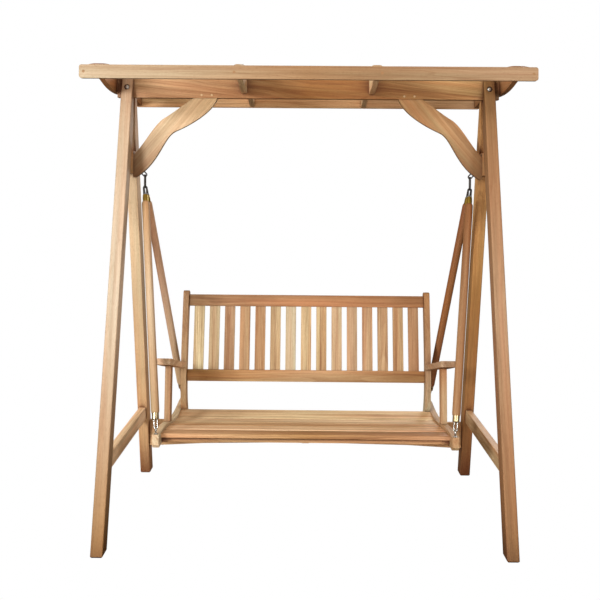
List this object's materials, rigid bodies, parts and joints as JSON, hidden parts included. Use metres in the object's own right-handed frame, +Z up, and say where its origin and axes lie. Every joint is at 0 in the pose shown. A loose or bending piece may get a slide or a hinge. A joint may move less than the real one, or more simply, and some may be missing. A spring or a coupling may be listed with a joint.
{
  "type": "porch swing",
  "caption": "Timber porch swing: an A-frame with a shallow arched slat roof and a slatted bench that swings on rods with brass ends.",
  "frame": {"origin": "floor, in the middle of the frame", "axes": "+X to the right seen from the front, +Y to the rear of the swing, +Z up; the front faces -Y"},
  "size_m": [1.86, 1.168, 2.081],
  "materials": {
    "teak_light": "sanded, oiled teak, pale boards",
    "teak_mid": "sanded, oiled teak",
    "teak_warm": "sanded, oiled teak, redder boards",
    "teak_plug": "teak plugs and pegs, end grain",
    "brass_upper": "dull cast brass",
    "brass_lower": "brighter turned brass",
    "dark_steel": "dark galvanised wire",
    "bright_steel": "bright stainless steel"
  },
  "bodies": {
    "frame": {"left_front_leg": "teak_light", "right_front_leg": "teak_light", "left_rear_leg": "teak_mid", "right_rear_leg": "teak_mid", "left_side_stretcher": "teak_mid", "right_side_stretcher": "teak_mid", "rear_stretcher": "teak_mid", "left_leg_tie": "teak_mid", "right_leg_tie": "teak_mid", "ridge_beam": "teak_mid", "left_knee_brace": "teak_warm", "right_knee_brace": "teak_warm", "left_end_rafter": "teak_warm", "left_middle_rafter": "teak_mid", "right_middle_rafter": "teak_mid", "right_end_rafter": "teak_warm", "front_roof_batten": "teak_light", "rear_roof_batten": "teak_light", "leg_bolts": "bright_steel", "brace_pegs": "teak_plug", "roof_screws": "bright_steel", "roof_plugs": "teak_plug", "left_hanging_eye": "dark_steel", "right_hanging_eye": "dark_steel"},
    "swing": {"left_link": "dark_steel", "right_link": "dark_steel", "left_front_rod": "teak_warm", "right_front_rod": "teak_warm", "left_rear_rod": "teak_warm", "right_rear_rod": "teak_warm", "upper_bails": "dark_steel", "upper_ferrules": "brass_upper", "lower_ferrules": "brass_lower", "lower_bails": "bright_steel", "rail_eyes": "bright_steel", "left_side_rail": "teak_mid", "right_side_rail": "teak_mid", "front_apron": "teak_mid", "rear_seat_rail": "teak_mid", "side_bearers": "teak_mid", "middle_bearer": "teak_mid", "seat_slat_1": "teak_light", "seat_slat_2": "teak_light", "seat_slat_3": "teak_light", "seat_slat_4": "teak_light", "seat_slat_5": "teak_light", "left_back_post": "teak_mid", "right_back_post": "teak_mid", "back_top_rail": "teak_mid", "back_lower_rail": "teak_mid", "left_back_slats": "teak_light", "middle_back_slats": "teak_light", "right_back_slats": "teak_light", "left_arm": "teak_mid", "right_arm": "teak_mid", "left_arm_post": "teak_mid", "right_arm_post": "teak_mid", "bench_bolts": "bright_steel"}
  },
  "joints": [
    {"name": "bench_swing", "type": "hinge", "parent": "frame", "child": "swing", "pos_m": [0, 0, 1.5702], "axis": [1, 0, 0], "range_deg": [-22, 22]}
  ]
}
